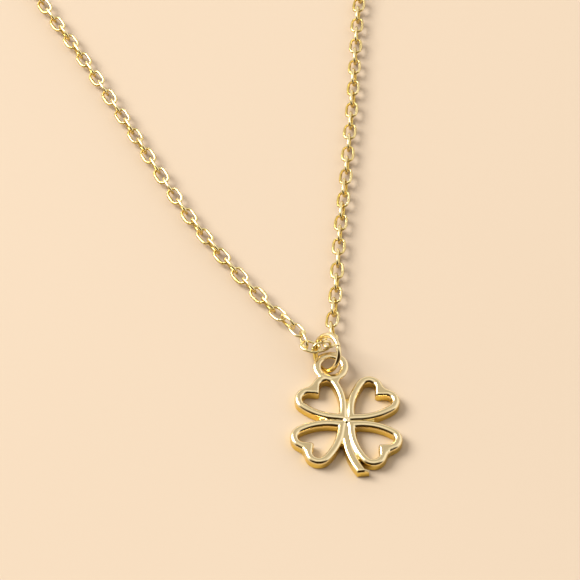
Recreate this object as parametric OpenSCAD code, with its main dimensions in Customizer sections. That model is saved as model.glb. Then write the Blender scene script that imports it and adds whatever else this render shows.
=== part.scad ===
// Four leaf clover pendant on its chain, laid out flat.
// X points right, Y up the pendant, Z up from the surface it lies on.
// The origin is the middle of the clover's flat back.

/* [Leaves] */
// Thickness of the clover at the crest of its rims
clover_t = 1.4; // [1.2:0.05:1.7]
// Width of the rim round each heart-shaped hole
rim_w = 1.03; // [0.9:0.01:1.1]
// Distance from the clover's centre to the point of each hole
hole_start = 1.5; // [1.4:0.05:1.6]
// Distance from the clover's centre to the middle of a leaf's two lobes
lobe_reach = 5.6; // [5.4:0.05:5.8]
// Distance of each lobe's centre from the middle line of its leaf
lobe_spread = 1.45; // [1.4:0.05:1.55]
// Radius of the round end of the hole in each lobe
lobe_hole_r = 0.73; // [0.65:0.01:0.8]
// Radius of the bowed side of each hole
side_r = 6.8; // [6.4:0.1:7.6]
// Distance from the lobes' middle back to the cusp inside the hole
cusp_back = 0.3; // [0.1:0.05:0.5]
// Distance from the lobes' middle out to the notch in the leaf's edge
notch_out = 1.35; // [1.2:0.05:1.5]
// Radius of the metal that fills the notch
notch_fill_r = 0.6; // [0.5:0.05:0.8]
// Angle of the upper leaves above level
upper_leaf_angle = 47.5; // [46:0.5:49]
// Angle of the lower leaves below level
lower_leaf_angle = 40; // [39:0.5:42]
// Angle that the clover lies turned to the right
clover_lean = 1.9; // [0:0.1:4]

/* [Web and stem] */
// Radius of the low web that joins the leaves
web_r = 3.5; // [3:0.1:3.7]
// Thickness of the web
web_t = 0.95; // [0.7:0.05:1.1]
// Diameter of the pip in the middle of the web
pip_d = 0.8; // [0.6:0.05:1]
// Width of the stem
stem_w = 1.25; // [1.1:0.05:1.4]
// Thickness of the stem at its crest
stem_t = 1.25; // [1:0.05:1.35]
// Distance below the clover's centre where the stem begins to bend
stem_straight = 1.6; // [1.2:0.1:2]
// Radius of the stem's bend
stem_bend_r = 8.9; // [8:0.1:10]
// Angle that the stem turns through
stem_turn = 41; // [36:1:44]

/* [Eyelet and jump ring] */
// Width of the eyelet's wall
eyelet_w = 1.05; // [0.9:0.01:1.1]
// Thickness of the eyelet's wall
eyelet_t = 0.6; // [0.5:0.02:0.7]
// Diameter of the eyelet's hole
eyelet_hole_d = 2.44; // [2.4:0.02:2.6]
// Direction of the eyelet from the lobe that carries it
eyelet_angle = 78; // [74:0.5:82]
// Distance from the edge of the leaf to the eyelet's hole
eyelet_shoulder = 0.07; // [0.05:0.01:0.2]
// Height that the eyelet's wall keeps above the jump ring's wire
eyelet_lift = 0.18; // [0.16:0.01:0.24]
// Diameter of the jump ring's wire
ring_wire_d = 0.66; // [0.56:0.02:0.7]
// Outer diameter of the jump ring
ring_d = 5.2; // [5:0.1:5.6]
// Slope of the jump ring along the pendant
ring_slope = 35; // [30:1:40]
// Roll of the jump ring from left to right
ring_roll = 50; // [46:1:54]
// Gap between the jump ring and what it carries
ring_gap = 0.13; // [0.1:0.01:0.16]

/* [Chain] */
// Diameter of the links' wire
link_wire_d = 0.38; // [0.34:0.01:0.4]
// Width of a link
link_w = 1.84; // [1.8:0.01:1.94]
// Gap between two hooked links, where the chain runs straight
link_gap = 0.2; // [0.18:0.01:0.24]
// Distance from one link to the next
link_pitch = 2; // [1.94:0.02:2.1]

/* [Clasp] */
// Diameter of the closed barrel
barrel_d = 2.4; // [2.2:0.1:2.8]
// Length of the closed barrel
barrel_l = 7; // [6:0.25:9]
// Diameter of the eyes' wire
eye_wire_d = 0.5; // [0.44:0.02:0.54]
// Outer diameter of the eyes
eye_d = 2; // [1.9:0.05:2.2]

/* [Hidden] */
GOLD = [0.9, 0.75, 0.45];
PALE_GOLD = [0.93, 0.83, 0.6];
UP = [0, 0, 1];

// Cross-section of a rim: share of its width from the hole outwards, share of its height
RIM_SECTION = [
    [0, 0], [1, 0], [1, 0.72], [0.93, 0.87], [0.76, 0.975], [0.5, 1],
    [0.24, 0.975], [0.07, 0.87], [0, 0.72]
];
// Cross-section of the stem: share of half its width, share of its height
STEM_SECTION = [
    [-1, 0], [1, 0], [1, 0.72], [0.86, 0.88], [0.55, 0.98], [0, 1], [-0.55, 0.98],
    [-0.86, 0.88], [-1, 0.72]
];
// The strands' routes from the jump ring to the clasp: places across and up the pendant, measured from the
// link that lies in the ring, and share of that link's height above the chain that lies on the surface
LEFT_ROUTE = [
    [-1.59, -0.8, 1.03], [-2.96, 2.65, 0.67], [-6.31, 6.77, 0], [-11.3, 13.1, 0], [-16.9, 21.1, 0],
    [-22.1, 30.3, 0], [-27.8, 40.8, 0], [-34.1, 52, 0], [-39.9, 61.7, 0], [-50.5, 82, 0], [-58, 104, 0],
    [-60, 127, 0], [-54, 147, 0], [-41, 160, 0], [-29.4, 165.9, 0]
];
RIGHT_ROUTE = [
    [1.45, 1.05, 0.8], [1.35, 4.2, 0.15], [1.85, 8.2, 0], [2.6, 19, 0], [3.6, 29.5, 0],
    [4.7, 43, 0], [6, 61.7, 0], [8.6, 78, 0], [13, 95, 0], [17.2, 113, 0],
    [18, 132.5, 0], [10.5, 149.5, 0], [-2.5, 160.8, 0], [-12.8, 165.7, 0]
];
CLASP_LEFT_END = [-25.6, 167.1];

// Vectors
function unit(v) = v / norm(v);
function turned(v, a) = [v[0] * cos(a) - v[1] * sin(a), v[0] * sin(a) + v[1] * cos(a)];

function polar(r, a) = [r * cos(a), r * sin(a)];

// Half a leaf's outline, from its point to its cusp, with the leaf along X.
// The bowed side and the round lobe are arcs that touch, and a straight run goes on to the cusp
side_shift = [lobe_reach - hole_start, lobe_spread];
side_gap = norm(side_shift);
side_along = (side_r * side_r - pow(side_r - lobe_hole_r, 2) + side_gap * side_gap) / (2 * side_gap);
side_across = sqrt(side_r * side_r - side_along * side_along);
side_centre = [hole_start, 0] + unit(side_shift) * side_along
    + turned(unit(side_shift), -90) * side_across;
side_first = atan2(-side_centre[1], hole_start - side_centre[0]);
side_last = atan2(lobe_spread - side_centre[1], lobe_reach - side_centre[0]);
// Angle on a lobe's circle of radius r where a straight line to the cusp touches it, with the cusp out
// beyond the lobes' middle, or behind it where out is below 0
function lobe_last(out, r) = atan2(lobe_spread, -out) - asin(r / norm([out, lobe_spread])) - 90;
// Steps along a side of every second leaf, and of the leaves between them
SIDE_STEPS = [11, 13];
LOBE_STEPS = 22;
function half_outline(grow, start, out, steps) = concat(
    [[start, 0]],
    [for (i = [1:steps])
        side_centre + polar(side_r + grow, side_first + (side_last - side_first) * i / steps)],
    [for (i = [1:LOBE_STEPS]) let (last = lobe_last(out, lobe_hole_r + grow))
        [lobe_reach, lobe_spread]
            + polar(lobe_hole_r + grow, side_last + (last - side_last) * i / LOBE_STEPS)],
    [[lobe_reach + out, 0]]
);
function leaf_outline(grow, start, out, steps) = let (half = half_outline(grow, start, out, steps))
    concat(half, [for (i = [len(half) - 2:-1:1]) [half[i][0], -half[i][1]]]);

// Rings of points joined into one surface; a closed run joins its last ring to its first, an open one has ends
module swept(rings, closed) {
    n = len(rings);
    m = len(rings[0]);
    walls = [for (i = [0:n - (closed ? 1 : 2)], j = [0:m - 1])
        let (k = (i + 1) % n, l = (j + 1) % m)
        each [[i * m + j, k * m + l, i * m + l], [i * m + j, k * m + j, k * m + l]]];
    ends = closed ? [] : [[for (j = [0:m - 1]) j], [for (j = [m - 1:-1:0]) (n - 1) * m + j]];
    polyhedron([for (ring = rings) each ring], concat(walls, ends));
}

// A leaf is a rim all round its hole, with its outer notch filled a little. APEX_PAST is how far its point runs
// past the clover's middle, and NOTCH_PAST how far the fill runs past the notch
APEX_PAST = 0.1;
NOTCH_PAST = 0.1;
// Shares of the clover's thickness at the filled notch's edge and at its top
NOTCH_EDGE_T = 0.72;
NOTCH_TOP_T = 0.94;
NOTCH_TOP_R = 0.6;
module leaf(steps) {
    inner = leaf_outline(0, hole_start, -cusp_back, steps);
    outer = leaf_outline(rim_w, -APEX_PAST, notch_out, steps);
    swept([for (i = [0:len(inner) - 1])
        [for (p = RIM_SECTION) let (q = inner[i] + (outer[i] - inner[i]) * p[0])
            [q[0], q[1], clover_t * p[1]]]], true);
    translate([lobe_reach + notch_out + NOTCH_PAST - notch_fill_r, 0, 0]) hull() {
        cylinder(r = notch_fill_r, h = NOTCH_EDGE_T * clover_t, $fn = 24);
        cylinder(r = NOTCH_TOP_R * notch_fill_r, h = NOTCH_TOP_T * clover_t, $fn = 24);
    }
}
LEAF_ANGLES = [
    upper_leaf_angle - clover_lean, 180 - upper_leaf_angle - clover_lean,
    180 + lower_leaf_angle - clover_lean, 360 - lower_leaf_angle - clover_lean
];

// Web: low metal from the middle out between each two leaves, under their rims
WEB_MIDDLE_R = 0.8;
WEB_END_R = 0.3;
WEB_HALF_ANGLE = 6;
module web() {
    for (i = [0:3]) {
        gap_angle = (LEAF_ANGLES[i] + (i < 3 ? LEAF_ANGLES[i + 1] : LEAF_ANGLES[0] + 360)) / 2;
        hull() {
            cylinder(r = WEB_MIDDLE_R, h = web_t, $fn = 24);
            for (side = [-1, 1]) rotate([0, 0, gap_angle + side * WEB_HALF_ANGLE])
                translate([web_r - WEB_END_R, 0, 0]) cylinder(r = WEB_END_R, h = web_t, $fn = 16);
        }
    }
}

// Pip: a small oval boss that stands a little above the rims, longer up the pendant than across
PIP_RISE = 0.1;
PIP_LENGTHWISE = 1.3;
PIP_CREST_SHARE = 0.6;
module pip() {
    scale([1, PIP_LENGTHWISE, 1]) rotate_extrude($fn = 24) polygon([
        [0, 0], [pip_d / 2, 0], [pip_d / 2, clover_t - PIP_RISE],
        [PIP_CREST_SHARE * pip_d / 2, clover_t + PIP_RISE / 2], [0, clover_t + PIP_RISE]]);
}

// Stem: down from the centre, then bent to the right. Its last sections slant, so that its end is cut nearly
// level, and its tip is a little rounded
STEM_STEPS = 16;
STEM_CUT_STEPS = 3;
STEM_TIP = 0.12;
STEM_END_SLOPE = 4;
stem_cut = stem_turn - clover_lean - STEM_END_SLOPE;
module stem() {
    bend = [for (i = [0:STEM_STEPS]) let (
            a = 180 + stem_turn * i / STEM_STEPS,
            slant = stem_cut * max(0, i - STEM_STEPS + STEM_CUT_STEPS) / STEM_CUT_STEPS)
        [[stem_bend_r, -stem_straight] + polar(stem_bend_r, a), a, slant, 1]];
    tip = [bend[STEM_STEPS][0] + polar(STEM_TIP, 270 + stem_turn - stem_cut / 2), 180 + stem_turn, stem_cut,
        1 - STEM_TIP];
    rotate([0, 0, -clover_lean]) swept([for (s = concat([[[0, 0], 180, 0, 1]], bend, [tip]))
        [for (p = STEM_SECTION) let (q = s[0] + polar(-p[0] * s[3] * stem_w / (2 * cos(s[2])), s[1] - s[2]))
            [q[0], q[1], stem_t * p[1] * (p[1] > 0.5 ? s[3] : 1)]]], false);
}

// Eyelet: a ring of rounded section that shares its wall with the lobe of the leaf below it
EYELET_SECTION = [
    [-0.5, 0], [-0.43, -0.3], [-0.25, -0.5], [0.25, -0.5], [0.43, -0.3], [0.5, 0],
    [0.43, 0.27], [0.25, 0.43], [0, 0.5], [-0.25, 0.43], [-0.43, 0.27]
];
eyelet_r = (eyelet_hole_d + eyelet_w) / 2;
eyelet_z = ring_wire_d + eyelet_lift + eyelet_t / 2;
carrying_lobe = turned([lobe_reach, -lobe_spread], LEAF_ANGLES[1]);
leaf_edge_r = lobe_hole_r + rim_w;
eyelet_centre = carrying_lobe + polar(leaf_edge_r + eyelet_shoulder + eyelet_hole_d / 2, eyelet_angle);
// The shoulder fills the corner between the eyelet and the leaf, a little thinner than the eyelet.
// Its corners on the eyelet: share of the wall's width out from the wall's middle, and direction
SHOULDER_ON_EYELET = [[0.4, 0], [0, -25], [0, -50], [0, -75]];
// Its corners on the lobe: share of the rim's width in from the leaf's edge, and direction
SHOULDER_ON_LOBE = [[0.5, 70], [0.2, 15]];
SHOULDER_THICKNESS_SHARE = 0.85;
// Turn of the eyelet about its own middle, so that its facets' edges keep clear of the shoulder's
EYELET_TURN = 135;
module eyelet() {
    shoulder_t = SHOULDER_THICKNESS_SHARE * eyelet_t;
    translate([eyelet_centre[0], eyelet_centre[1], eyelet_z]) rotate([0, 0, EYELET_TURN])
        rotate_extrude($fn = 60)
            polygon([for (p = EYELET_SECTION) [eyelet_r + p[0] * eyelet_w, p[1] * eyelet_t]]);
    translate([0, 0, eyelet_z - shoulder_t / 2]) linear_extrude(height = shoulder_t) polygon(concat(
        [for (p = SHOULDER_ON_EYELET) eyelet_centre + polar(eyelet_r + p[0] * eyelet_w, p[1])],
        [for (p = SHOULDER_ON_LOBE) carrying_lobe + polar(leaf_edge_r - p[0] * rim_w, p[1])]));
}

module clover() {
    color(GOLD) {
        for (i = [0:3]) rotate([0, 0, LEAF_ANGLES[i]]) leaf(SIDE_STEPS[i % 2]);
        web();
        pip();
        stem();
        eyelet();
    }
}

// Jump ring: it leans through the eyelet, with its lowest point on the surface under the eyelet's wall
ring_r = (ring_d - ring_wire_d) / 2;
ring_up = [0, cos(ring_slope), sin(ring_slope)];
ring_right = [cos(ring_roll), -sin(ring_slope) * sin(ring_roll), cos(ring_slope) * sin(ring_roll)];
ring_axis = cross(ring_right, ring_up);
ring_rise = norm([ring_up[2], ring_right[2]]);
ring_steepest = (ring_up * ring_up[2] + ring_right * ring_right[2]) / ring_rise;
// Direction from the eyelet's centre in which the ring passes under its wall
RING_UNDER_ANGLE = 152;
ring_low = eyelet_centre + polar(eyelet_r, RING_UNDER_ANGLE);
ring_centre = [ring_low[0], ring_low[1], ring_wire_d / 2] + ring_steepest * ring_r;
module jump_ring() {
    color(PALE_GOLD) multmatrix([
        [ring_right[0], ring_up[0], ring_axis[0], ring_centre[0]],
        [ring_right[1], ring_up[1], ring_axis[1], ring_centre[1]],
        [ring_right[2], ring_up[2], ring_axis[2], ring_centre[2]]])
        rotate_extrude($fn = 96) translate([ring_r, 0]) circle(d = ring_wire_d, $fn = 32);
}

// Links
link_r = (link_w - link_wire_d) / 2;
link_l = link_pitch + link_gap + 2 * link_wire_d;
module half_link() {
    translate([(link_l - link_w) / 2, 0, 0]) rotate([0, 0, -90])
        rotate_extrude(angle = 180, $fn = 32) translate([link_r, 0]) circle(d = link_wire_d, $fn = 16);
    translate([0, link_r, 0]) rotate([0, 90, 0])
        cylinder(d = link_wire_d, h = link_l - link_w, center = true, $fn = 16);
}
// A link from one joint to the next, turned about its length by roll
module link(from, to, roll) {
    along = unit(to - from);
    level = unit(cross(along, UP));
    side = level * cos(roll) + cross(level, along) * sin(roll);
    face = cross(along, side);
    mid = (from + to) / 2;
    multmatrix([
        [along[0], side[0], face[0], mid[0]],
        [along[1], side[1], face[1], mid[1]],
        [along[2], side[2], face[2], mid[2]]]) {
        half_link();
        rotate([0, 0, 180]) half_link();
    }
}

// The link in the jump ring: its flat side lies against the ring, a gap away from its wire.
// It runs through the ring nearly level, and its sides are nearer to the ring than its middle line
SADDLE_ANGLE = 54;
SADDLE_SLOPE_SHARE = 0.45;
SADDLE_SPARE = 0.1;
saddle = ring_up * cos(SADDLE_ANGLE) - ring_right * sin(SADDLE_ANGLE);
saddle_clear = ring_r - (ring_wire_d + link_wire_d) / 2 - ring_gap;
saddle_middle = ring_centre + saddle * (sqrt(saddle_clear * saddle_clear - link_r * link_r) - SADDLE_SPARE);
saddle_along = unit([-ring_axis[0], -ring_axis[1], -ring_axis[2] * SADDLE_SLOPE_SHARE]);
saddle_left = saddle_middle - saddle_along * link_pitch / 2;
saddle_right = saddle_middle + saddle_along * link_pitch / 2;
// Turn of this link about its length, and its turn from the even lean of 45 degrees
saddle_level = unit(cross(saddle_along, UP));
saddle_side = cross(saddle, saddle_along);
saddle_roll = atan2(saddle_side * cross(saddle_level, saddle_along), saddle_side * saddle_level);
saddle_turn = (saddle_roll + 360) % 180 - 135;

// Links lean to both sides in turn, and a little more or less along the chain
LEAN_SWAY = 6;
SWAY_STEP = 37;
function right_roll(k) = (k % 2 == 0 ? 45 : -45) + saddle_turn + LEAN_SWAY * sin(SWAY_STEP * k);
// The left strand's links lean the other way at the jump ring, and each of the first is twisted on a little,
// until they lean as the right strand's do. The very first has a turn of its own, which keeps it clear
TWISTED_LINKS = 5;
FIRST_LINK_TURN = 9;
function left_roll(k) = (k == 0 ? FIRST_LINK_TURN : 0) - right_roll(k)
    + 2 * (45 + saddle_turn) * min(1, k / TWISTED_LINKS);
// Height of the links' joints above the surface where the chain lies on it, with upright links on the surface
lying_z = link_wire_d / 2 + link_r;

// Route through its chosen points, as a smooth line of close points
STEPS = 24;
function smooth(a, b, c, d, t) = b + ((c - a) * t + (2 * a - 5 * b + 4 * c - d) * t * t
    + (3 * b - a - 3 * c + d) * t * t * t) / 2;
function line_through(p) = [for (i = [0:len(p) - 2], s = [0:STEPS - 1])
    smooth(p[max(i - 1, 0)], p[i], p[i + 1], p[min(i + 2, len(p) - 1)], s / STEPS)];
function raised(q) = [q[0], q[1], max(q[2], lying_z)];
function route(start, places, end) = let (
    laid = [for (place = places) [
        saddle_middle[0] + place[0],
        saddle_middle[1] + place[1],
        lying_z + (start[2] - lying_z) * place[2]]])
    concat([for (q = line_through(concat([start], laid, [end]))) raised(q)], [end]);
// Length of a line up to each of its points
function lengths(p) = [for (i = 0, s = 0; i < len(p); s = s + (i + 1 < len(p) ? norm(p[i + 1] - p[i]) : 0),
    i = i + 1) s];
function place_at(p, s, at) = let (
    i = max([for (k = [0:len(s) - 2]) if (s[k] <= at) k]))
    p[i] + (p[i + 1] - p[i]) * (at - s[i]) / (s[i + 1] - s[i]);
// Joints between links, evenly spread over a line
function joints(p) = let (
    s = lengths(p),
    all = s[len(s) - 1],
    n = round(all / link_pitch))
    [for (k = [0:n]) k == n ? p[len(p) - 1] : place_at(p, s, all * k / n)];

// Clasp
eye_r = (eye_d - eye_wire_d) / 2;
// How far an eye's wire reaches past the joint that it shares with a link
eye_hook = (eye_wire_d + link_wire_d) / 2 + ring_gap - (link_gap + link_wire_d) / 2;
eye_out = barrel_l / 2 + eye_r * 0.75;
clasp_l = 2 * (eye_out + eye_r - eye_hook);
clasp_z = barrel_d / 2;
clasp_left = [saddle_middle[0] + CLASP_LEFT_END[0], saddle_middle[1] + CLASP_LEFT_END[1], clasp_z];
clasp_right = clasp_left + [clasp_l, 0, 0];

left_joints = joints(route(saddle_left, LEFT_ROUTE, clasp_left));
right_joints = joints(route(saddle_right, RIGHT_ROUTE, clasp_right));
left_links = len(left_joints) - 1;
right_links = len(right_joints) - 1;

module chain_left() {
    color(PALE_GOLD)
    for (k = [0:left_links - 1]) link(left_joints[k], left_joints[k + 1], left_roll(k));
}

module chain_right() {
    color(PALE_GOLD) {
        link(saddle_left, saddle_right, saddle_roll);
        for (k = [0:right_links - 1]) link(right_joints[k], right_joints[k + 1], right_roll(k));
    }
}

module clasp() {
    chamfer = barrel_d / 6;
    color(PALE_GOLD) translate((clasp_left + clasp_right) / 2) {
        rotate([0, 90, 0]) rotate_extrude($fn = 96)
            polygon([[0, -barrel_l / 2], [barrel_d / 2 - chamfer, -barrel_l / 2],
                [barrel_d / 2, chamfer - barrel_l / 2], [barrel_d / 2, barrel_l / 2 - chamfer],
                [barrel_d / 2 - chamfer, barrel_l / 2], [0, barrel_l / 2]]);
        // Each eye stands square to the link that it holds
        for (end = [[-1, 90 - left_roll(left_links - 1)], [1, 90 + right_roll(right_links - 1)]])
            translate([end[0] * eye_out, 0, 0]) rotate([end[1], 0, 0])
                rotate_extrude($fn = 64) translate([eye_r, 0]) circle(d = eye_wire_d, $fn = 24);
    }
}

clover();
jump_ring();
chain_left();
chain_right();
clasp();
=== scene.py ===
import math

import bpy
import numpy as np
from mathutils import Matrix, Vector


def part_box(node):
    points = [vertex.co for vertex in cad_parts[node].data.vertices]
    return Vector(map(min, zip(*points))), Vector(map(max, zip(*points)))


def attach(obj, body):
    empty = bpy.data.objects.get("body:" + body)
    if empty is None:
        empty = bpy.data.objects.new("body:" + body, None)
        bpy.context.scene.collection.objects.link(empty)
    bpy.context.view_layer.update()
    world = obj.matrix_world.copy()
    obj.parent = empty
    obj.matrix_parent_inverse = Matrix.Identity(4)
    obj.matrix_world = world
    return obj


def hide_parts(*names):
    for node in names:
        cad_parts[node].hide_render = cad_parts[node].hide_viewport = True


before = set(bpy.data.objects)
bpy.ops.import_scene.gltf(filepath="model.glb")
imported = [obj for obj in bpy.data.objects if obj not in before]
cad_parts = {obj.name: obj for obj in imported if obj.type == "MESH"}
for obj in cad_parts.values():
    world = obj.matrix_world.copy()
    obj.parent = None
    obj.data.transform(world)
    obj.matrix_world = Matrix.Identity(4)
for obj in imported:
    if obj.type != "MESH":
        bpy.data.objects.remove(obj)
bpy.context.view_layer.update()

# Clover: one casting with four heart-shaped leaves, a stem and an eyelet, in brass with pale gold plating.
# It is cast in one, so its rims, webs and eyelet flow into each other, and it is tumbled and polished until
# its edges are soft. Its back is flat. Sizes are in millimetres until the piece is settled.
MM_PER_METRE = 1000
CLOVER_T = 1.4
RIM_W = 1.03
RIM_ROUND = 0.46
ROUND_STEPS = 4
HOLE_START = 1.5
LOBE = Vector((5.6, 1.45, 0))
LOBE_HOLE_R = 0.73
SIDE_R = 6.8
CUSP_BACK = 0.42
CUSP_R = 0.32
NOTCH_OUT = 1.35
NOTCH_FILL_R = 0.6
NOTCH_SIDES = 48
APEX_PAST = 0.1
SIDE_STEPS = 24
LOBE_STEPS = 44
CUSP_STEPS = 8
CLOVER_LEAN = 1.9
LEAF_ANGLES = [45.6, 130.6, 218.1, 318.1]
WEB_T = 0.95
WEB_INNER_R = 0.9
WEB_OUTER_R = 3.5
WEB_SPREADS = ((WEB_INNER_R, 125), (WEB_INNER_R, 60), (WEB_OUTER_R, 10))
WEB_ROUND = 0.1
PIP_PLACE = (0, 0, 1.02)
PIP_HALVES = (0.4, 0.52, 0.48)
PIP_RINGS = 16
STEM_W = 1.25
STEM_T = 1.25
STEM_STRAIGHT = 1.6
STEM_BEND_R = 8.9
STEM_TURN = 41
STEM_SPARE_TURN = 8
STEM_STEPS = 28
STEM_END_SLOPE = 4
EYELET_CENTRE = Vector((-1.909, 8.179, 1.14))
EYELET_R = 1.745
EYELET_W = 1.05
EYELET_T = 0.6
EYELET_STEPS = 96
EYELET_WALL_SIDES = 32
SHOULDER_ON_EYELET = ((0.4, 0), (0, -25), (0, -50), (0, -75))
SHOULDER_ON_LEAF = ((0.5, 70), (0.2, 15))
SHOULDER_HALF_T = 0.42 * EYELET_T
SHOULDER_ROUND = 0.12
FINE_ROUND_STEPS = 2
CAST_VOXEL = 0.07
CAST_SOFTENING = 4
# A face is level where its normal's rise is over LEVEL, and a wall where it is under STEEP
LEVEL = 0.9
STEEP = 0.5


def deselect():
    for o in bpy.context.selected_objects:
        o.select_set(False)


def activate(piece):
    deselect()
    bpy.context.view_layer.objects.active = piece
    piece.select_set(True)


def edit(piece, select="SELECT"):
    """Opens a piece in edit mode with all or none of it selected."""
    activate(piece)
    bpy.ops.object.mode_set(mode="EDIT")
    bpy.ops.mesh.select_all(action=select)


def close():
    bpy.ops.object.mode_set(mode="OBJECT")


def outward(piece):
    edit(piece)
    bpy.ops.mesh.normals_make_consistent(inside=False)
    close()


def bevel_edges(piece, chosen, rounding, steps):
    """Rounds the edges of a piece that are among the chosen, each given by the pair of its corners."""
    edit(piece, "DESELECT")
    bpy.ops.mesh.select_mode(type="EDGE")
    close()
    for e in piece.data.edges:
        e.select = e.key in chosen
    bpy.ops.object.mode_set(mode="EDIT")
    bpy.ops.mesh.bevel(offset=rounding, segments=steps, affect="EDGES")
    bpy.ops.mesh.select_mode(type="VERT")
    close()


def round_edges(piece, rounding, steps, both_sides=False):
    """Rounds the edges between a piece's level top and its walls, and those of its level back if asked."""
    beside = {}
    for face in piece.data.polygons:
        for key in face.edge_keys:
            beside.setdefault(key, []).append(face.normal.z)
    chosen = set()
    for key, rises in beside.items():
        top = max(rises) > LEVEL and min(rises) < STEEP
        back = min(rises) < -LEVEL and max(rises) > -STEEP
        if len(rises) == 2 and (top or (both_sides and back)):
            chosen.add(key)
    bevel_edges(piece, chosen, rounding, steps)


def joined(pieces, name):
    deselect()
    for piece in pieces:
        piece.select_set(True)
    bpy.context.view_layer.objects.active = pieces[0]
    bpy.ops.object.join()
    pieces[0].name = pieces[0].data.name = name
    return pieces[0]


def turned_copy(piece, matrix):
    twin = piece.copy()
    twin.data = piece.data.copy()
    bpy.context.scene.collection.objects.link(twin)
    twin.data.transform(matrix)
    return twin


def apply_modifier(piece, kind, **settings):
    modifier = piece.modifiers.new(kind.title(), kind)
    for key, value in settings.items():
        setattr(modifier, key, value)
    activate(piece)
    bpy.ops.object.modifier_apply(modifier=modifier.name)


def plate(corners, low, high, name):
    """A flat plate with these corners, from height low to height high."""
    bpy.ops.mesh.primitive_circle_add(vertices=len(corners), radius=1, fill_type="NGON")
    piece = bpy.context.object
    piece.name = name
    for vertex, corner in zip(piece.data.vertices, corners):
        vertex.co = (corner.x, corner.y, low)
    edit(piece)
    bpy.ops.mesh.extrude_region_move(TRANSFORM_OT_translate={"value": (0, 0, high - low)})
    close()
    outward(piece)
    return piece


def settle(piece):
    """Takes a piece from millimetres to metres, with its place in its mesh."""
    piece.data.transform(Matrix.Scale(1 / MM_PER_METRE, 4))
    piece.matrix_world = Matrix.Identity(4)


def polar(radius, degrees):
    return Vector((radius * math.cos(math.radians(degrees)), radius * math.sin(math.radians(degrees)), 0))


def bearing(v):
    return math.degrees(math.atan2(v.y, v.x))


# A leaf lies along X, with its point towards the clover's middle. Its side is an arc from the point, which
# runs smoothly into the lobe's arc. Between the lobes are the hole's cusp and the outer edge's notch.
point = Vector((HOLE_START, 0, 0))
shift = LOBE - point
gap = shift.length
along = (SIDE_R ** 2 - (SIDE_R - LOBE_HOLE_R) ** 2 + gap ** 2) / (2 * gap)
across = math.sqrt(SIDE_R ** 2 - along ** 2)
side_centre = point + shift.normalized() * along + shift.normalized().cross(Vector((0, 0, 1))) * across
side_first = bearing(point - side_centre)
side_last = bearing(LOBE - side_centre)


def leaf_outline(grow, start, out, cusp_r=0):
    """A leaf's outline, grown by grow: its point at start, a bowed side, a round lobe and the cusp, and back.
    The cusp's corner lies out past the lobes' middles, and is sharp unless it has a radius."""
    last = bearing(Vector((-out, LOBE.y))) - math.degrees(
        math.asin((LOBE_HOLE_R + grow) / math.hypot(out, LOBE.y))) - 90
    side = [side_centre + polar(SIDE_R + grow, side_first + (side_last - side_first) * k / SIDE_STEPS)
            for k in range(1, SIDE_STEPS + 1)]
    lobe = [LOBE + polar(LOBE_HOLE_R + grow, side_last + (last - side_last) * k / LOBE_STEPS)
            for k in range(1, LOBE_STEPS + 1)]
    corner = Vector((LOBE.x + out, 0, 0))
    slope = bearing(lobe[-1] - corner)
    if cusp_r:
        turn_centre = corner + Vector((cusp_r / math.sin(math.radians(slope)), 0, 0))
        cusp = [turn_centre + polar(cusp_r, 90 + slope + (90 - slope) * k / CUSP_STEPS)
                for k in range(CUSP_STEPS + 1)]
    else:
        cusp = [lobe[-1].lerp(corner, (k + 1) / (CUSP_STEPS + 1)) for k in range(CUSP_STEPS + 1)]
    half = [Vector((start, 0, 0)), *side, *lobe, *cusp]
    return half + [Vector((p.x, -p.y, 0)) for p in half[-2:0:-1]]


# A leaf's rim starts as its outer line. That is drawn in to the hole's line, raised, and rounded on top.
outer = leaf_outline(RIM_W, -APEX_PAST, NOTCH_OUT)
hole = leaf_outline(0, HOLE_START, -CUSP_BACK, CUSP_R)
deselect()
bpy.ops.mesh.primitive_circle_add(vertices=len(outer), radius=1)
leaf = bpy.context.object
for vertex, place in zip(leaf.data.vertices, outer):
    vertex.co = place
edit(leaf)
bpy.ops.mesh.extrude_region_move(TRANSFORM_OT_translate={"value": (0, 0, 0)})
close()
for vertex, place in zip(leaf.data.vertices[len(outer):], hole):
    vertex.co = place
edit(leaf)
bpy.ops.mesh.extrude_region_move(TRANSFORM_OT_translate={"value": (0, 0, CLOVER_T)})
close()
outward(leaf)
round_edges(leaf, RIM_ROUND, ROUND_STEPS)
bpy.ops.mesh.primitive_cylinder_add(
    vertices=NOTCH_SIDES, radius=NOTCH_FILL_R, depth=CLOVER_T,
    location=(LOBE.x + NOTCH_OUT + APEX_PAST - NOTCH_FILL_R, 0, CLOVER_T / 2))
notch = bpy.context.object
notch.data.transform(notch.matrix_world)
notch.matrix_world = Matrix.Identity(4)
round_edges(notch, RIM_ROUND, ROUND_STEPS)
leaf = joined([leaf, notch], "leaf")
castings = [turned_copy(leaf, Matrix.Rotation(math.radians(a), 4, "Z")) for a in LEAF_ANGLES]
bpy.data.objects.remove(leaf)

# Webs: low metal between each two leaves, and a pip in the middle. A spread is the distance of two corners
# from the clover's middle, and their angle to each side of the line between the leaves.
for k, (a, b) in enumerate(zip(LEAF_ANGLES, LEAF_ANGLES[1:] + [LEAF_ANGLES[0] + 360])):
    middle = (a + b) / 2
    web = plate(
        [polar(far, middle - spread) for far, spread in WEB_SPREADS]
        + [polar(far, middle + spread) for far, spread in reversed(WEB_SPREADS)],
        0, WEB_T, f"web_{k}")
    round_edges(web, WEB_ROUND, FINE_ROUND_STEPS)
    castings.append(web)
bpy.ops.mesh.primitive_uv_sphere_add(segments=2 * PIP_RINGS, ring_count=PIP_RINGS, radius=1)
pip = bpy.context.object
pip.data.transform(Matrix.Translation(PIP_PLACE) @ Matrix.Diagonal((*PIP_HALVES, 1)))
castings.append(pip)

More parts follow.
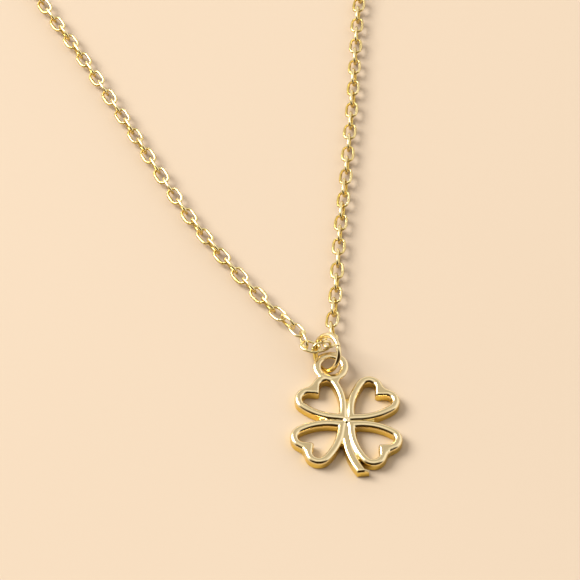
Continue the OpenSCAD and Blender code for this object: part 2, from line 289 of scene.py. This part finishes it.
# Stem: its section is drawn down from the middle, spun to the right and cut off nearly level
bpy.ops.mesh.primitive_plane_add(size=1, location=(0, 0, 0))
stem = bpy.context.object
stem.data.transform(
    Matrix.Translation((0, 0, STEM_T / 2)) @ Matrix.Diagonal((STEM_W, 1, STEM_T, 1))
    @ Matrix.Rotation(math.pi / 2, 4, "X"))
bend_centre = Vector((STEM_BEND_R, -STEM_STRAIGHT, 0))
edit(stem)
bpy.ops.mesh.extrude_region_move(TRANSFORM_OT_translate={"value": (0, -STEM_STRAIGHT, 0)})
bpy.ops.mesh.spin(
    steps=STEM_STEPS, angle=math.radians(-STEM_TURN - STEM_SPARE_TURN), center=bend_centre, axis=(0, 0, 1))
bpy.ops.mesh.select_all(action="SELECT")
bpy.ops.mesh.bisect(
    plane_co=bend_centre + polar(STEM_BEND_R, 180 + STEM_TURN),
    plane_no=polar(1, STEM_END_SLOPE + CLOVER_LEAN - 90), use_fill=True, clear_outer=True)
close()
outward(stem)
round_edges(stem, RIM_ROUND, ROUND_STEPS)
stem.data.transform(Matrix.Rotation(math.radians(-CLOVER_LEAN), 4, "Z"))
castings.append(stem)

# Eyelet: a full, rounded ring on the upper left leaf, and a shoulder that fills the corner between them.
# The shoulder's first corners are out from the middle of the eyelet's wall by so many wall widths, and its
# last ones are in from the leaf's edge by so many rim widths, each in its direction in degrees.
bpy.ops.mesh.primitive_torus_add(
    major_segments=EYELET_STEPS, minor_segments=EYELET_WALL_SIDES,
    major_radius=EYELET_R, minor_radius=EYELET_W / 2)
eyelet = bpy.context.object
eyelet.data.transform(Matrix.Translation(EYELET_CENTRE) @ Matrix.Diagonal((1, 1, EYELET_T / EYELET_W, 1)))
castings.append(eyelet)
carrying_lobe = Matrix.Rotation(math.radians(LEAF_ANGLES[1]), 4, "Z") @ Vector((LOBE.x, -LOBE.y, 0))
leaf_edge_r = LOBE_HOLE_R + RIM_W
shoulder = plate(
    [EYELET_CENTRE + polar(EYELET_R + out * EYELET_W, a) for out, a in SHOULDER_ON_EYELET]
    + [carrying_lobe + polar(leaf_edge_r - back * RIM_W, a) for back, a in SHOULDER_ON_LEAF],
    EYELET_CENTRE.z - SHOULDER_HALF_T, EYELET_CENTRE.z + SHOULDER_HALF_T, "shoulder")
round_edges(shoulder, SHOULDER_ROUND, FINE_ROUND_STEPS, both_sides=True)
castings.append(shoulder)

clover = joined(castings, "clover_casting")
apply_modifier(clover, "REMESH", mode="VOXEL", voxel_size=CAST_VOXEL, adaptivity=0)
apply_modifier(clover, "SMOOTH", factor=0.5, iterations=CAST_SOFTENING)
clover.data.shade_smooth()
settle(clover)

# The plating's soft clouds, slow waves and fine hairlines, and the share of the height below which its colour
# is painted shade. A material works in metres.
CLOUD_SCALE = 700
CLOUD_DEPTH = 0.0003
CLOUD_ROUGHNESS = 0.05
WAVE_SCALE = 1100
WAVE_SHARE = 0.7
HAIRLINE_SCALE = 2600
HAIRLINE_STRETCH = (1, 9, 1)
HAIRLINE_SHARE = 0.3
HAIRLINE_ROUGHNESS = 0.04
RELIEF_DEPTH = 0.000012
PAINTED_SHADE_SHARE = 0.55


class Wire:
    """A node's socket, which adds its Math nodes where it is used in an expression."""

    def __init__(self, finish, socket):
        self.finish, self.socket = finish, socket

    def with_math(self, operation, first, second):
        return self.finish.node("ShaderNodeMath", {"operation": operation}, {0: first, 1: second})

    def __add__(self, other):
        return self.with_math("ADD", self, other)

    def __radd__(self, other):
        return self.with_math("ADD", other, self)

    def __sub__(self, other):
        return self.with_math("SUBTRACT", self, other)

    def __rsub__(self, other):
        return self.with_math("SUBTRACT", other, self)

    def __mul__(self, other):
        return self.with_math("MULTIPLY", self, other)

    def __rmul__(self, other):
        return self.with_math("MULTIPLY", other, self)


class Finish:
    """The nodes of a material or of the room, built up one by one in front of its shader."""

    def __init__(self, owner, shader="Principled BSDF"):
        owner.use_nodes = True
        self.tree = owner.node_tree
        self.shader = self.tree.nodes[shader]

    def feed(self, socket, value):
        if isinstance(value, Wire):
            self.tree.links.new(value.socket, socket)
        else:
            socket.default_value = value

    def node(self, kind, settings, inputs, output=0):
        made = self.tree.nodes.new(kind)
        for key, value in settings.items():
            if key == "stops":
                ramp = made.color_ramp
                while len(ramp.elements) < len(value):
                    ramp.elements.new(0.5)
                for element, (at, colour) in zip(ramp.elements, value):
                    element.position, element.color = at, (*colour, 1)
            else:
                setattr(made, key, value)
        for key, value in inputs.items():
            self.feed(made.inputs[key], value)
        return Wire(self, made.outputs[output])

    def set(self, **values):
        for key, value in values.items():
            self.feed(self.shader.inputs[key.replace("_", " ")], value)

    def place(self, kind="Object"):
        return self.node("ShaderNodeTexCoord", {}, {}, kind)

    def one_axis(self, vector, letter):
        return self.node("ShaderNodeSeparateXYZ", {}, {0: vector}, letter)

    def noise(self, scale, detail, stretch=(1, 1, 1)):
        at = self.node("ShaderNodeMapping", {}, {"Vector": self.place(), "Scale": stretch})
        return self.node("ShaderNodeTexNoise", {}, {"Vector": at, "Scale": scale, "Detail": detail}, "Fac")

    def blend(self, share, first, second):
        """From the first colour to the second, each a wire or plain red, green and blue."""
        first, second = (colour if isinstance(colour, Wire) else (*colour, 1) for colour in (first, second))
        return self.node("ShaderNodeMix", {"data_type": "RGBA"}, {0: share, 6: first, 7: second}, 2)

    def ramp(self, value, low, high):
        return self.node("ShaderNodeMapRange", {"interpolation_type": "SMOOTHSTEP"},
                         {"Value": value, "From Min": low, "From Max": high})

    def relief(self, height, distance):
        return self.node("ShaderNodeBump", {}, {"Height": height, "Distance": distance, "Strength": 1.0})


def plated_with_painted_shade(name, painted_lit_colour, painted_shade_colour, painted_lit_height, roughness):
    """Polished gold plating with painted reflection and shade: a paler gold painted on from the given height
    up, and a richer, darker gold painted into the recesses below it as shade, with faint waves and hairlines."""
    material = bpy.data.materials.new(name)
    gold = Finish(material)
    height = gold.one_axis(gold.place(), "Z")
    cloud = gold.noise(CLOUD_SCALE, detail=3)
    hairlines = gold.noise(HAIRLINE_SCALE, detail=4, stretch=HAIRLINE_STRETCH)
    # Painted reflection and shade: the base colour goes from a darker, richer gold low down to a paler gold
    # on the tops, by height alone, and the clouds make the edge wander.
    reach = gold.ramp(height + (cloud - 0.5) * CLOUD_DEPTH, PAINTED_SHADE_SHARE * painted_lit_height, painted_lit_height)
    gold.set(
        Base_Color=gold.blend(reach, painted_shade_colour, painted_lit_colour),
        Metallic=1.0,
        Roughness=roughness + CLOUD_ROUGHNESS * cloud + HAIRLINE_ROUGHNESS * hairlines,
        Normal=gold.relief(
            WAVE_SHARE * gold.noise(WAVE_SCALE, detail=2) + HAIRLINE_SHARE * hairlines, RELIEF_DEPTH))
    return material


def dress(piece, material):
    piece.data.materials.clear()
    piece.data.materials.append(material)


dress(clover, plated_with_painted_shade(
    "clover_plating_painted_shade", painted_lit_colour=(0.85, 0.72, 0.45), painted_shade_colour=(0.85, 0.65, 0.17), painted_lit_height=0.0013, roughness=0.13))
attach(clover, "root")
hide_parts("clover")

# Jump ring: round brass wire wound to a ring and cut, then closed by hand until its ends meet.
# It hangs in the eyelet and leans through it, and carries the chain. The cut shows as a fine line.
RING_WIRE_R = 0.33
RING_WIRE_SIDES = 20
RING_R = 2.27
RING_STEPS = 120
RING_CUT = 0.035
RING_CUT_ANGLE = 20
RING_SLOPE = math.radians(35)
RING_ROLL = math.radians(50)
RING_CENTRE = Vector((-2.373, 9.51647, 2.25984))


def placed(x_axis, y_axis, z_axis, centre):
    """The matrix that takes a piece made round the origin to its own three axes and its centre."""
    return Matrix((
        (x_axis.x, y_axis.x, z_axis.x, centre.x),
        (x_axis.y, y_axis.y, z_axis.y, centre.y),
        (x_axis.z, y_axis.z, z_axis.z, centre.z),
        (0, 0, 0, 1)))


ring_up = Vector((0, math.cos(RING_SLOPE), math.sin(RING_SLOPE)))
ring_right = Vector((
    math.cos(RING_ROLL),
    -math.sin(RING_SLOPE) * math.sin(RING_ROLL),
    math.cos(RING_SLOPE) * math.sin(RING_ROLL)))
deselect()
bpy.ops.mesh.primitive_circle_add(vertices=RING_WIRE_SIDES, radius=RING_WIRE_R, fill_type="NGON")
ring = bpy.context.object
ring.name = ring.data.name = "jump_ring_wire"
ring.data.transform(Matrix.Translation((RING_R, 0, 0)) @ Matrix.Rotation(math.pi / 2, 4, "X"))
edit(ring)
bpy.ops.mesh.spin(
    steps=RING_STEPS, angle=2 * math.pi - RING_CUT / RING_R, center=(0, 0, 0), axis=(0, 0, 1))
close()
outward(ring)
ring.data.transform(
    placed(ring_right, ring_up, ring_right.cross(ring_up), RING_CENTRE)
    @ Matrix.Rotation(math.radians(RING_CUT_ANGLE), 4, "Z"))
ring.data.shade_smooth()
settle(ring)
dress(ring, plated_with_painted_shade(
    "wire_plating_painted_shade", painted_lit_colour=(0.87, 0.74, 0.45), painted_shade_colour=(0.84, 0.64, 0.2), painted_lit_height=0.003, roughness=0.12))
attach(ring, "root")
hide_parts("jump_ring")

# Chain: oval links of fine brass wire, each closed through the last and soldered on one side, then plated.
# The two strands are one closed cable chain: it runs through the jump ring and back to the clasp.
LINK_WIRE_R = 0.19
LINK_WIRE_SIDES = 6
LINK_W = 1.84
LINK_L = 2.96
LINK_TURN_STEPS = 5
SOLDER_SWELL = 1.2
DOUBLES_WITHIN = 0.01
TURNED_EVERY = 3
link_r = LINK_W / 2 - LINK_WIRE_R
straight = (LINK_L - LINK_W) / 2
deselect()
bpy.ops.mesh.primitive_circle_add(vertices=LINK_WIRE_SIDES, radius=LINK_WIRE_R)
link = bpy.context.object
link.data.transform(Matrix.Translation((-straight, -link_r, 0)) @ Matrix.Rotation(math.pi / 2, 4, "Y"))
edit(link)
bpy.ops.mesh.extrude_region_move(TRANSFORM_OT_translate={"value": (straight, 0, 0)})
bpy.ops.transform.resize(value=(1, SOLDER_SWELL, SOLDER_SWELL), center_override=(0, -link_r, 0))
bpy.ops.mesh.extrude_region_move(TRANSFORM_OT_translate={"value": (straight, 0, 0)})
bpy.ops.transform.resize(value=(1, 1 / SOLDER_SWELL, 1 / SOLDER_SWELL), center_override=(0, -link_r, 0))
bpy.ops.mesh.spin(steps=LINK_TURN_STEPS, angle=-math.pi, center=(straight, 0, 0), axis=(0, 0, 1))
bpy.ops.mesh.extrude_region_move(TRANSFORM_OT_translate={"value": (-2 * straight, 0, 0)})
bpy.ops.mesh.spin(steps=LINK_TURN_STEPS, angle=-math.pi, center=(-straight, 0, 0), axis=(0, 0, 1))
bpy.ops.mesh.select_all(action="SELECT")
bpy.ops.mesh.remove_doubles(threshold=DOUBLES_WITHIN)
close()
outward(link)
link.data.shade_smooth()
settle(link)


def link_places(node):
    """Where a strand's links lie, from the lowest Y up: each loose part's middle, long axis and wide axis."""
    mesh = node.data
    mesh.calc_loop_triangles()
    points = np.empty(len(mesh.vertices) * 3, np.float32)
    mesh.vertices.foreach_get("co", points)
    # Adding zero makes each minus zero a plain one, so that equal points have equal bytes
    points = np.ascontiguousarray(points.reshape(-1, 3) + np.float32(0))
    corners = np.empty(len(mesh.loop_triangles) * 3, np.int32)
    mesh.loop_triangles.foreach_get("vertices", corners)
    same = np.unique(points.view("V12").ravel(), return_inverse=True)[1].ravel()
    triangles = same[corners].reshape(-1, 3)
    # Each point takes the lowest number among its neighbours, until all of a link's points have one number
    part = np.arange(same.max() + 1)
    while True:
        lowest = part[triangles].min(axis=1)
        spread = part.copy()
        for k in range(3):
            np.minimum.at(spread, triangles[:, k], lowest)
        spread = spread[spread]
        if (spread == part).all():
            break
        part = spread
    part_of = part[triangles[:, 0]]
    a, b, c = (points[corners[k::3]].astype(float) for k in range(3))
    middles, areas = (a + b + c) / 3, np.linalg.norm(np.cross(b - a, c - a), axis=1)
    places = []
    for k in np.unique(part_of):
        inside = part_of == k
        share = areas[inside] / areas[inside].sum()
        centre = share @ middles[inside]
        reach = middles[inside] - centre
        axes = np.linalg.eigh(reach.T @ (reach * share[:, None]))[1]
        places.append((Vector(centre), Vector(axes[:, 2]), Vector(axes[:, 1])))
    return sorted(places, key=lambda place: (round(place[0].y, 5), place[0].x))


chain_plating_painted_shade = plated_with_painted_shade(
    "chain_plating_painted_shade", painted_lit_colour=(0.88, 0.76, 0.43), painted_shade_colour=(0.76, 0.58, 0.18), painted_lit_height=0.0014, roughness=0.17)
for name in ("chain_left", "chain_right"):
    links = []
    for k, (centre, length, width) in enumerate(link_places(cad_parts[name])):
        length = length if length.y > 0 else -length
        width = width if (width.z > 0) == (k % TURNED_EVERY > 0) else -width
        links.append(turned_copy(link, placed(length, width, length.cross(width), centre)))
    strand = joined(links, name + "_links")
    dress(strand, chain_plating_painted_shade)
    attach(strand, "root")
    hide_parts(name)
bpy.data.objects.remove(link)

# Clasp: a closed barrel of turned brass in two halves that meet at a fine seam, with a wire eye soldered into
# each end. The photograph doesn't show it, so it is a plain one of a usual size.
BARREL_R = 1.2
BARREL_L = 7.0
BARREL_SIDES = 64
BARREL_ROUND = 0.4
END_WITHIN = 0.01
SEAM_HALF_W = 0.05
SEAM_DEEP = 0.07
EYE_WIRE_R = 0.25
EYE_WIRE_SIDES = 16
EYE_R = 0.75
EYE_STEPS = 48
EYE_OUT = 4.0625
EYE_TURNS = (-5.8, 102.8)
SHARP_ANGLE = math.radians(30)
half_l = BARREL_L / 2
seam_size = 1 - SEAM_DEEP / BARREL_R
deselect()
bpy.ops.mesh.primitive_circle_add(vertices=BARREL_SIDES, radius=BARREL_R, fill_type="NGON")
barrel = bpy.context.object
edit(barrel)
for run, size in ((half_l - SEAM_HALF_W, 1), (0, seam_size), (2 * SEAM_HALF_W, 1), (0, 1 / seam_size),
                  (half_l - SEAM_HALF_W, 1)):
    bpy.ops.mesh.extrude_region_move(TRANSFORM_OT_translate={"value": (0, 0, run)})
    bpy.ops.transform.resize(value=(size, size, 1))
close()
outward(barrel)
barrel.data.transform(Matrix.Translation((0, 0, -half_l)))
at_end = [abs(v.co.z) > half_l - END_WITHIN for v in barrel.data.vertices]
end_edges = {e.key for e in barrel.data.edges if all(at_end[v] for v in e.key)}
bevel_edges(barrel, end_edges, BARREL_ROUND, ROUND_STEPS)
barrel.data.transform(Matrix.Rotation(math.pi / 2, 4, "Y"))
parts = [barrel]
for side, turn in zip((-1, 1), EYE_TURNS):
    deselect()
    bpy.ops.mesh.primitive_torus_add(
        major_segments=EYE_STEPS, minor_segments=EYE_WIRE_SIDES, major_radius=EYE_R, minor_radius=EYE_WIRE_R)
    eye = bpy.context.object
    eye.data.transform(
        Matrix.Translation((side * EYE_OUT, 0, 0)) @ Matrix.Rotation(math.radians(turn), 4, "X"))
    parts.append(eye)
clasp = joined(parts, "barrel_clasp")
low, high = (Vector(corner) * MM_PER_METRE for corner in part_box("clasp"))
clasp.data.transform(Matrix.Translation((low + high) / 2))
settle(clasp)
activate(clasp)
bpy.ops.object.shade_smooth_by_angle(angle=SHARP_ANGLE)
dress(clasp, plated_with_painted_shade(
    "clasp_plating_painted_shade", painted_lit_colour=(0.9, 0.75, 0.44), painted_shade_colour=(0.88, 0.64, 0.2), painted_lit_height=0.002, roughness=0.14))
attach(clasp, "root")
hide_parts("clasp")

# Surface, light and camera: the necklace lies on a plain cream surface, in soft daylight from a window on
# the upper left. The camera looks down at it steeply from the front.
SURFACE_SIZE = 4.0
PAPER_COLOURS = ((0.68, 0.56, 0.425), (0.7, 0.58, 0.445))
PAPER_CLOUD_SCALE = 12
WINDOW_PLACE = Vector((-1.5, 0.63, 1.38))
WINDOW_SIZE = 1.35
WINDOW_POWER = 51.0
CAMERA_PLACE = (-0.00707, -0.15278, 0.23526)
CAMERA_PITCH = 36.47
CAMERA_LENS = 139.03
CAMERA_SENSOR = 36
CAMERA_CLIP = 0.01
PICTURE_GAMMA = 0.85
deselect()
bpy.ops.mesh.primitive_plane_add(size=SURFACE_SIZE, location=(0, 0, 0))
surface = bpy.context.object
surface.name = surface.data.name = "surface"
cream_paper = bpy.data.materials.new("cream_paper")
paper = Finish(cream_paper)
paper.set(
    Base_Color=paper.blend(paper.noise(PAPER_CLOUD_SCALE, detail=2), *PAPER_COLOURS),
    Roughness=0.75, Specular_IOR_Level=0.2)
surface.data.materials.append(cream_paper)

lamp = bpy.data.lights.new("window", "AREA")
lamp.shape, lamp.size, lamp.energy = "DISK", WINDOW_SIZE, WINDOW_POWER
window = bpy.data.objects.new("window", lamp)
bpy.context.scene.collection.objects.link(window)
window.location = WINDOW_PLACE
window.rotation_euler = (-WINDOW_PLACE).to_track_quat("-Z", "Y").to_euler()

# The room round the surface: pale at the horizon and overhead and a calm beige between them, pale all the
# way up on the right, and dim where the photographer stands. Heights and sides are shares of a direction.
ROOM_PALE = (1.15, 1.14, 1.18)
ROOM_BEIGE = (0.7, 0.65, 0.6)
ROOM_OVERHEAD = (1.05, 1.03, 1.0)
ROOM_DIM = (0.06, 0.035, 0.012)
ROOM_HEIGHTS = [
    (0.0, ROOM_PALE), (0.36, ROOM_PALE), (0.52, ROOM_BEIGE), (0.9, ROOM_BEIGE),
    (0.96, ROOM_OVERHEAD), (1.0, ROOM_OVERHEAD)]
DIM_TOWARD = (0.26, 0.5)
DIM_RISE = (-0.02, 0.08)
PALE_RIGHT = (0.38, 0.52)
world = bpy.data.worlds.new("studio")
bpy.context.scene.world = world
room = Finish(world, "Background")
way = room.place("Generated")
rise = room.one_axis(way, "Z")
away = room.one_axis(way, "Y")
right = room.one_axis(way, "X")
walls = room.node("ShaderNodeValToRGB", {"stops": ROOM_HEIGHTS}, {0: rise}, "Color")
dim = room.ramp(away * -1.0, *DIM_TOWARD) * room.ramp(rise, *DIM_RISE)
lit = room.blend(room.ramp(right, *PALE_RIGHT), walls, ROOM_PALE)
room.set(Color=room.blend(dim, lit, ROOM_DIM), Strength=1.0)

camera = bpy.data.objects.new("camera", bpy.data.cameras.new("camera"))
bpy.context.scene.collection.objects.link(camera)
camera.location = CAMERA_PLACE
camera.rotation_euler = (math.radians(CAMERA_PITCH), 0, 0)
camera.data.lens = CAMERA_LENS
camera.data.sensor_width = CAMERA_SENSOR
camera.data.clip_start = CAMERA_CLIP
bpy.context.scene.camera = camera
bpy.context.scene.view_settings.view_transform = "Standard"
bpy.context.scene.view_settings.gamma = PICTURE_GAMMA
